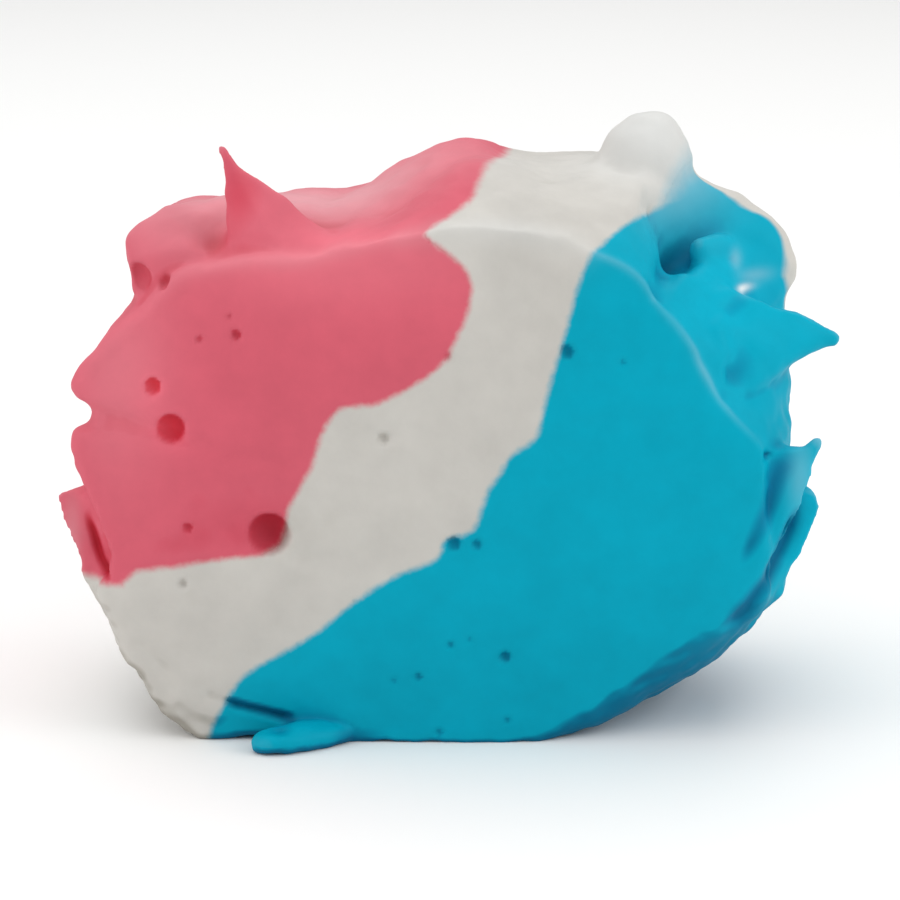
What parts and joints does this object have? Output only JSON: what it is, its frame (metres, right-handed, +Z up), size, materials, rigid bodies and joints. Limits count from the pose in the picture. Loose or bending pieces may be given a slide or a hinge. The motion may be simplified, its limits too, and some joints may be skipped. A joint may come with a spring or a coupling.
{
  "type": "salt water taffy",
  "caption": "Unwrapped piece of soft pulled taffy with pink, white and blue stripes, flat cut faces with opened air bubbles, and a torn, peaked rim it stands on.",
  "frame": {"origin": "middle of the bounding box at the surface that the sweet stands on", "axes": "+Z up; +X to the right across the cut face that the picture shows, along the longest side; that cut face looks towards -Y, and the sweet's thickness runs along Y"},
  "size_m": [0.0358, 0.0202, 0.0278],
  "materials": {
    "pink_taffy": "soft aerated sugar taffy, satin to matt, slightly translucent",
    "white_taffy": "soft aerated sugar taffy, satin to matt, slightly translucent",
    "blue_taffy": "soft aerated sugar taffy, satin to matt, slightly translucent"
  },
  "bodies": {
    "root": {"taffy_pink": "pink_taffy", "taffy_white": "white_taffy", "taffy_blue": "blue_taffy"}
  },
  "joints": []
}
